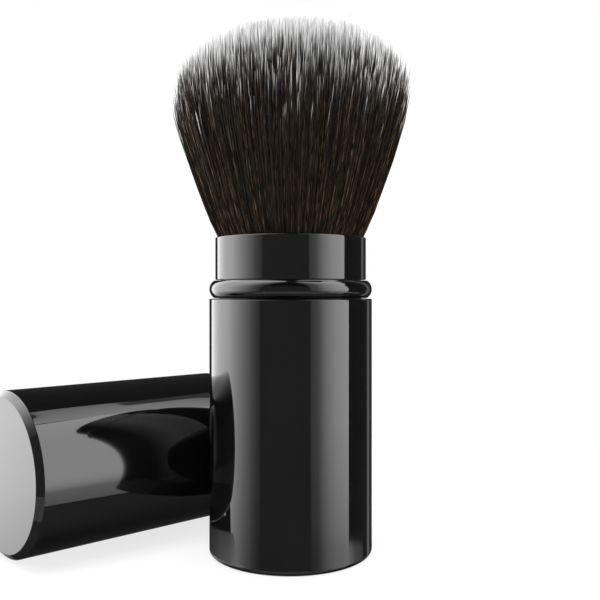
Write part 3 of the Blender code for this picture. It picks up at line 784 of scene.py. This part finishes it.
def plan_strands():
    """Where each strand starts and ends, how it bends and which tones it reads.

    The seed and the order of the random draws stay as they are, so the head never changes.
    """
    rng = np.random.default_rng(HEAD_SEED)
    head = smooth_table(HEAD_OUTLINE, HEAD_SMOOTHING)
    dome = smooth_table(DOME_OUTLINE, DOME_SMOOTHING)
    roots = sunflower(STRAND_COUNT, rng, STRAND_JITTER)
    wisps = sunflower(WISP_COUNT, rng, WISP_JITTER)
    wisp = nearest_wisp(roots, wisps)
    shares = np.linalg.norm(roots, axis=1)
    rim = rise(shares, RIM_SHARE, FADE_SHARE)
    outward = grow(INNER_SHARE, rim)
    loose = grow(CALM_SHARE, rise(shares, LOOSE_SHARE, FADE_SHARE))

    cut = rng.uniform(0, 1, STRAND_COUNT) * rng.uniform(0, CUT_DEPTH, STRAND_COUNT)
    short = np.where(rng.random(STRAND_COUNT) < CUT_CHANCE, cut * np.sqrt(rim), 0)
    tips = tip_heights(shares, head, dome) - rng.exponential(TIP_WEAR, STRAND_COUNT) * loose - short
    tips = tips + rng.normal(0, WISP_UNEVENNESS, WISP_COUNT)[wisp] * outward
    tips = tips + DOME_TILT * (roots @ np.array(RIGHT.xy)) * SHOULDER_RADIUS

    lean = rng.normal(0, WISP_LEAN, (WISP_COUNT, 2))[wisp] * loose[:, None]
    lean = lean + rng.normal(0, STRAND_LEAN, (STRAND_COUNT, 2))
    pull = rng.uniform(*WISP_PULL_SHARES, WISP_COUNT)[wisp] * outward
    wave_turn = rng.uniform(0, FULL_TURN, STRAND_COUNT)
    wave_size = rng.uniform(0, WAVE_SIZE, STRAND_COUNT)
    column = rng.integers(0, TONE_COLUMNS, STRAND_COUNT)
    shift = tone_shift(rng, shares, wisp, rim, loose)
    thickness = rng.uniform(*THICKNESS_SHARES, STRAND_COUNT)
    turn = rng.uniform(0, FULL_TURN, STRAND_COUNT)
    return SimpleNamespace(
        head=head, roots=roots, home=wisps[wisp], lock=lock_numbers(roots, shares), tips=tips, lean=lean,
        pull=pull, wave_turn=wave_turn, wave_size=wave_size, column=column, shift=shift,
        thickness=thickness, turn=turn,
    )


def strand_lines(plan, chosen, rings):
    """The chosen strands' middle lines, radii and places along their colours, a row to a strand."""
    share = 1 - (1 - np.linspace(0, 1, rings)) ** RING_CROWDING
    tips = plan.tips[chosen, None]
    heights = ROOT_HEIGHT + (tips - ROOT_HEIGHT) * share[None]
    below_tip = tips - heights

    late = np.clip(1 - below_tip / PULL_LENGTH, 0, 1)[:, :, None] ** PULL_POWER
    free = rise(heights, FREE_HEIGHT, FREE_REACH)[:, :, None]
    roots = plan.roots[chosen][:, None]
    unit = roots + (plan.home[chosen][:, None] - roots) * late * plan.pull[chosen, None, None]
    unit = unit + plan.lean[chosen][:, None] * free ** LEAN_POWER
    wave_turn = plan.wave_turn[chosen]
    sway = plan.wave_size[chosen, None] * np.sin(share[None] * WAVE_ANGLE + wave_turn[:, None])
    wave_side = np.stack([np.cos(wave_turn), np.sin(wave_turn)], 1)[:, None]
    unit = unit + sway[:, :, None] * free * wave_side

    spread = np.interp(heights, *plan.head)
    centre = np.concatenate([unit * spread[:, :, None], heights[:, :, None]], 2)
    taper = grow(TIP_RADIUS_SHARE, np.clip(below_tip / TAPER_LENGTH, 0, 1) ** TAPER_POWER)
    radius = STRAND_RADIUS * plan.thickness[chosen, None] * taper
    along = 1 - np.clip(below_tip + plan.shift[chosen, None], 0, COLOUR_REACH) / COLOUR_REACH
    return centre, radius, along


def strand_pattern(rings):
    """One strand's faces: their sizes, and each corner's point, place round the strand and ring."""
    sizes = []
    corners = []
    for ring in range(rings - 1):
        low = ring * STRAND_SIDES
        high = low + STRAND_SIDES
        for side in range(STRAND_SIDES):
            after = (side + 1) % STRAND_SIDES
            start, end = side / STRAND_SIDES, (side + 1) / STRAND_SIDES
            corners += [(low + side, start, ring), (low + after, end, ring)]
            if ring == rings - 2:
                corners += [(high, (side + 0.5) / STRAND_SIDES, ring + 1)]
                sizes.append(3)
            else:
                corners += [(high + after, end, ring + 1), (high + side, start, ring + 1)]
                sizes.append(4)
    corners += [(STRAND_SIDES - 1 - index, across, 0) for index, across in enumerate(ROOT_ACROSS)]
    sizes.append(STRAND_SIDES)
    return sizes, corners


def strands_mesh(name, plan, chosen, rings):
    """Three-sided tapering strands, each closed at its root and drawn to a point."""
    centre, radius, along = strand_lines(plan, chosen, rings)
    count = len(chosen)
    angles = plan.turn[chosen][:, None] + np.arange(STRAND_SIDES)[None] * 2 * math.pi / STRAND_SIDES
    around = np.stack([np.cos(angles), np.sin(angles), np.zeros_like(angles)], 2)
    sides = centre[:, :-1, None] + around[:, None] * radius[:, :-1, None, None]
    points = np.concatenate([sides.reshape(count, -1, 3), centre[:, -1:]], 1)
    per_strand = points.shape[1]

    strand_sizes, strand_corners = strand_pattern(rings)
    point, across, ring = (np.array(values) for values in zip(*strand_corners))
    corners = (point[None] + np.arange(count)[:, None] * per_strand).ravel()
    sizes = np.tile(strand_sizes, count)
    starts = np.concatenate([[0], np.cumsum(sizes)[:-1]])
    mesh = bpy.data.meshes.new(name)
    mesh.vertices.add(count * per_strand)
    mesh.vertices.foreach_set("co", (points * MM).astype(np.float32).ravel())
    mesh.loops.add(len(corners))
    mesh.loops.foreach_set("vertex_index", corners.astype(np.int32))
    mesh.polygons.add(len(sizes))
    mesh.polygons.foreach_set("loop_start", starts.astype(np.int32))

    column = plan.column[chosen][:, None] + COLUMN_MARGIN
    over = (column + (1 - 2 * COLUMN_MARGIN) * across[None]) / TONE_COLUMNS
    up = along[:, ring]
    up[:, -1] += ROOT_LIFT
    places = np.stack([over, END_MARGIN + (1 - 2 * END_MARGIN) * np.clip(up, 0, 1)], 2)
    layer = mesh.uv_layers.new(name="OFBake")
    layer.uv.foreach_set("vector", places.astype(np.float32).ravel())
    mesh.update(calc_edges=True)
    mesh.shade_smooth()
    return mesh


def bristle_head():
    """The head: a middle bundle that always fits the sleeve, and outer locks round it, kept as fixed meshes.
    """
    plan = plan_strands()
    mesh = strands_mesh("bristle_middle", plan, np.flatnonzero(plan.lock == LOCK_COUNT), CENTRE_RINGS)
    mesh_object("bristle_middle", mesh, "bristle_fibre", "handle", ("bristle_centre",))
    for index in range(LOCK_COUNT):
        name = f"bristle_lock_{index + 1:02d}"
        mesh = strands_mesh(name, plan, np.flatnonzero(plan.lock == index), LOCK_RINGS)
        lock = mesh_object(name, mesh, "bristle_fibre", "handle", ("bristle_flare",))
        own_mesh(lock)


def finish_hidden_nodes():
    """The CAD pieces that stay as they are get their own finishes."""
    slots = {
        "base_liner": "black_moulding",
        "friction_ring": "black_rubber",
        "core_post": "black_moulding",
        "post_screw": "zinc_plated_steel",
        "bristle_ferrule": "aluminium",
        "glue_plug": "amber_resin",
        "stop_ring": "zinc_plated_steel",
    }
    for name, slot in slots.items():
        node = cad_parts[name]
        for place in node.material_slots:
            place.material = FINISHES[slot]


def place_camera():
    """The level camera in front of the brush."""
    data = bpy.data.cameras.new("camera")
    data.lens = LENS
    data.sensor_width = SENSOR
    data.shift_y = HORIZON_SHIFT
    data.clip_start = 0.01
    data.clip_end = 50
    camera = bpy.data.objects.new("camera", data)
    bpy.context.scene.collection.objects.link(camera)
    camera.location = -VIEW * EYE_DISTANCE + RIGHT * EYE_TO_RIGHT + Vector((0, 0, EYE_HEIGHT))
    camera.rotation_euler = VIEW.to_track_quat("-Z", "Y").to_euler()
    bpy.context.scene.camera = camera


def direction(azimuth, elevation=0.0):
    """The way out from the brush, in degrees; azimuth runs from the camera towards its right."""
    turn = math.radians(azimuth)
    lift = math.radians(elevation)
    level = -VIEW * math.cos(turn) + RIGHT * math.sin(turn)
    return level * math.cos(lift) + Vector((0, 0, math.sin(lift)))


def stage_object(name, mesh, material, camera=False, diffuse=False, glossy=True):
    """Something round the brush that isn't part of it."""
    thing = bpy.data.objects.new(name, mesh)
    bpy.context.scene.collection.objects.link(thing)
    mesh.materials.append(material)
    thing.visible_camera = camera
    thing.visible_diffuse = diffuse
    thing.visible_glossy = glossy
    thing.visible_transmission = glossy
    thing.visible_shadow = False


def glow_material(name, strength, across=None, upward=EVEN):
    """A light's face, brighter or darker across its width and its height."""
    material = bpy.data.materials.new(name)
    material.use_nodes = True
    tree = material.node_tree
    tree.nodes.clear()
    output = node_of(tree, "ShaderNodeOutputMaterial")
    glow = node_of(tree, "ShaderNodeEmission")
    glow.inputs["Strength"].default_value = strength
    if across:
        place = node_of(tree, "ShaderNodeUVMap").outputs["UV"]
        parts = node_of(tree, "ShaderNodeSeparateXYZ")
        tree.links.new(place, parts.inputs[0])
        wide = ramp_node(tree, parts.outputs["X"], across)
        high = ramp_node(tree, parts.outputs["Y"], upward)
        level = math_node(tree, "MULTIPLY", wide, high)
        tree.links.new(math_node(tree, "MULTIPLY", level, strength), glow.inputs["Strength"])
    tree.links.new(glow.outputs[0], output.inputs["Surface"])
    return material


def light_sheet(name, points, faces, places, material):
    """A sheet of light that only gloss sees, with each point's place across and up it."""
    mesh = bpy.data.meshes.new(name)
    mesh.from_pydata(points, [], faces)
    layer = mesh.uv_layers.new(name="UVMap")
    for loop in mesh.loops:
        layer.uv[loop.index].vector = places[loop.vertex_index]
    stage_object(name, mesh, material)


def scrim(name, edges, material):
    """A curved light sheet; each edge row is its elevation, left and right azimuth in degrees."""
    middle = Vector((0, 0, EYE_HEIGHT))
    lowest, highest = edges[0][0], edges[-1][0]
    points = []
    places = []
    for elevation, left, right in edges:
        for step in range(SCRIM_STEPS + 1):
            share = step / SCRIM_STEPS
            points.append(middle + direction(left + (right - left) * share, elevation) * SCRIM_DISTANCE)
            places.append((share, (elevation - lowest) / (highest - lowest)))
    faces = []
    row = SCRIM_STEPS + 1
    for low in range(0, len(points) - row, row):
        for step in range(SCRIM_STEPS):
            faces.append((low + step, low + step + 1, low + row + step + 1, low + row + step))
    light_sheet(name, points, faces, places, material)


def foot_card():
    """A card below the floor's level that shades what the foot of the base mirrors."""
    material = glow_material("foot_shade", 2.0, (
        (0.0, 0.03), (0.165, 0.055), (0.318, 0.10), (0.424, 0.165), (0.518, 0.22), (0.60, 0.28),
        (0.682, 0.37), (0.753, 0.48), (0.824, 0.62), (0.93, 0.80), (1.0, 0.82),
    ), (
        (0.0, 1.0), (0.126, 0.92), (0.316, 0.80), (0.521, 0.58), (0.560, 0.50), (0.580, 0.05), (1.0, 0.03),
    ))
    first, last = FOOT_CARD_AZIMUTHS
    height_range = FOOT_CARD_TALLEST - FOOT_CARD_BOTTOM
    points = []
    places = []
    for step in range(FOOT_CARD_STEPS + 1):
        share = step / FOOT_CARD_STEPS
        azimuth = first + (last - first) * share
        mirrored_at = direction(azimuth / 2) * BODY_RADIUS * MM
        start = mirrored_at + direction(azimuth) * FOOT_CARD_DISTANCE * MM
        for height in (FOOT_CARD_BOTTOM, np.interp(share, *zip(*FOOT_CARD_TOPS))):
            points.append(start + Vector((0, 0, height * MM)))
            places.append((share, (height - FOOT_CARD_BOTTOM) / height_range))
    faces = [(2 * step, 2 * step + 2, 2 * step + 3, 2 * step + 1) for step in range(FOOT_CARD_STEPS)]
    light_sheet("foot_shade", points, faces, places, material)


def softboxes():
    """Two tall softboxes, and the boom light that carries the right one on round the back."""
    right_glow = glow_material("softbox_right", 2.65, (
        (0.00, 0.14), (0.185, 0.24), (0.39, 0.66), (0.63, 0.97), (1.0, 1.0),
    ), (
        (0.0, 0.30), (0.13, 0.42), (0.148, 0.48), (0.157, 0.60), (0.18, 0.74), (0.22, 0.92), (0.28, 1.0),
        (1.0, 1.0),
    ))
    scrim("softbox_right", (
        (-35, 27.5, 88), (0, 27.5, 88), (28, 27.5, 88), (36, 27, 98), (46, 26, 106), (54, 25, 112),
        (60, 24, 113), (62, 23, 104), (66, 22, 88), (72, 20, 72), (80, 18, 50),
    ), right_glow)
    left_glow = glow_material("softbox_left", 2.8, (
        (0.0, 0.78), (0.25, 0.78), (0.32, 0.84), (0.48, 1.0), (0.63, 0.76), (0.75, 0.50), (0.82, 0.36),
        (0.90, 0.19), (1.0, 0.08),
    ), (
        (0.0, 0.1), (0.08, 0.25), (0.13, 0.5), (0.15, 0.62), (0.18, 0.8), (0.22, 0.92), (0.27, 1.0),
        (1.0, 1.0),
    ))
    scrim("softbox_left", (
        (-35, -146, -41), (0, -146, -41), (30, -146, -41), (50, -148, -36), (70, -152, -28), (86, -160, -15),
    ), left_glow)
    boom_glow = glow_material("softbox_boom", 1.9, ((0.0, 1.0), (0.45, 0.8), (1.0, 0.5)))
    scrim("softbox_boom", (
        (48, 106, 112), (52, 110, 124), (56, 112, 140), (60, 113, 150), (63, 104, 152), (66, 96, 150),
    ), boom_glow)


def fills_and_table():
    """The weak fills, and the glow that the table gives the gloss from below."""
    fill_glow = glow_material("front_fill", 0.12)
    scrim("front_fill", ((-20, -42, 27), (32, -42, 27)), fill_glow)
    strip_glow = glow_material("strip_light", 0.22)
    scrim("strip_light", ((-35, 135, 146), (60, 135, 146)), strip_glow)
    card_glow = glow_material(
        "table_card", 0.8, ((0.0, 1.3), (0.38, 0.5), (1.0, 0.15)), ((0.0, 1.0), (0.93, 1.0), (1.0, 0.05)),
    )
    scrim("table_card", ((-26, 88, 122), (-17.5, 88, 122)), card_glow)
    # It dims towards the back: painted shade, standing for the table where the brush shades it
    table_glow = glow_material("table_glow", 0.13, (
        (0.0, 0.18), (0.12, 0.18), (0.33, 1.0), (0.70, 1.0), (0.75, 0.75), (0.81, 0.45), (0.86, 0.30),
        (0.92, 0.18),
    ))
    scrim("table_glow", ((-89, -180, 180), (-36, -180, 180)), table_glow)
    front_glow = glow_material("table_front", 0.4)
    scrim("table_front", ((-60, -60, 60), (-20.5, -60, 60)), front_glow)


def drapes():
    """The dark drapes that the gloss mirrors between the lights."""
    mesh = bpy.data.meshes.new("drapes")
    form = bmesh.new()
    bmesh.ops.create_icosphere(form, subdivisions=4, radius=DRAPE_DISTANCE)
    form.to_mesh(mesh)
    form.free()
    stage_object("drapes", mesh, glow_material("drapes", 0.03))


def lamp(name, azimuth, elevation, distance, size, energy):
    """A soft lamp that only matt surfaces see, aimed at the brush's middle."""
    data = bpy.data.lights.new(name, "AREA")
    data.shape = "DISK"
    data.size = size
    data.energy = energy
    light = bpy.data.objects.new(name, data)
    bpy.context.scene.collection.objects.link(light)
    out = direction(azimuth, elevation)
    light.location = Vector((0, 0, EYE_HEIGHT)) + out * distance
    light.rotation_euler = out.to_track_quat("Z", "Y").to_euler()
    light.visible_glossy = False
    light.visible_camera = False


def room():
    """The room's even light, plain white to the camera, to gloss and through glass."""
    world = bpy.data.worlds.new("room")
    bpy.context.scene.world = world
    world.use_nodes = True
    tree = world.node_tree
    tree.nodes.clear()
    output = node_of(tree, "ShaderNodeOutputWorld")
    background = node_of(tree, "ShaderNodeBackground")
    background.inputs["Color"].default_value = (1, 1, 1, 1)
    rays = node_of(tree, "ShaderNodeLightPath")
    seen = math_node(tree, "MAXIMUM", rays.outputs["Is Camera Ray"], rays.outputs["Is Glossy Ray"])
    seen = math_node(tree, "MAXIMUM", seen, rays.outputs["Is Transmission Ray"])
    tree.links.new(range_node(tree, seen, 0.0, 1.0, ROOM_LIGHT, 1.0), background.inputs["Strength"])
    tree.links.new(background.outputs[0], output.inputs["Surface"])


def floor():
    """A pale floor that keeps the shadows near the brush and turns plain white further off."""
    material = bpy.data.materials.new("pale_floor")
    material.use_nodes = True
    tree = material.node_tree
    tree.nodes.clear()
    output = node_of(tree, "ShaderNodeOutputMaterial")
    matt = node_of(tree, "ShaderNodeBsdfDiffuse")
    matt.inputs["Color"].default_value = (FLOOR_TONE, FLOOR_TONE, FLOOR_TONE, 1)
    white = node_of(tree, "ShaderNodeEmission")
    mix = node_of(tree, "ShaderNodeMixShader")
    place = node_of(tree, "ShaderNodeNewGeometry").outputs["Position"]
    away = node_of(tree, "ShaderNodeVectorMath", operation="LENGTH")
    tree.links.new(place, away.inputs[0])
    far = range_node(tree, away.outputs["Value"], FLOOR_NEAR, FLOOR_FAR, FLOOR_LEAST_WHITE, 1.0)
    rays = node_of(tree, "ShaderNodeLightPath")
    share = math_node(tree, "MULTIPLY", far, rays.outputs["Is Camera Ray"])
    tree.links.new(share, mix.inputs[0])
    tree.links.new(matt.outputs[0], mix.inputs[1])
    tree.links.new(white.outputs[0], mix.inputs[2])
    tree.links.new(mix.outputs[0], output.inputs["Surface"])
    mesh = bpy.data.meshes.new("floor")
    sides = ((-1, -1), (1, -1), (1, 1), (-1, 1))
    mesh.from_pydata([(FLOOR_REACH * x, FLOOR_REACH * y, 0) for x, y in sides], [], [(0, 1, 2, 3)])
    stage_object("floor", mesh, material, camera=True, diffuse=True, glossy=False)


bpy.context.scene.view_settings.view_transform = "Standard"
place_camera()
base_cup()
mouth_bushing()
sleeve_tube()
trim_bead()
collar_band()
cap_cup()
cap_lining()
bristle_head()
finish_hidden_nodes()
softboxes()
fills_and_table()
foot_card()
drapes()
for settings in LAMPS:
    lamp(*settings)
room()
floor()
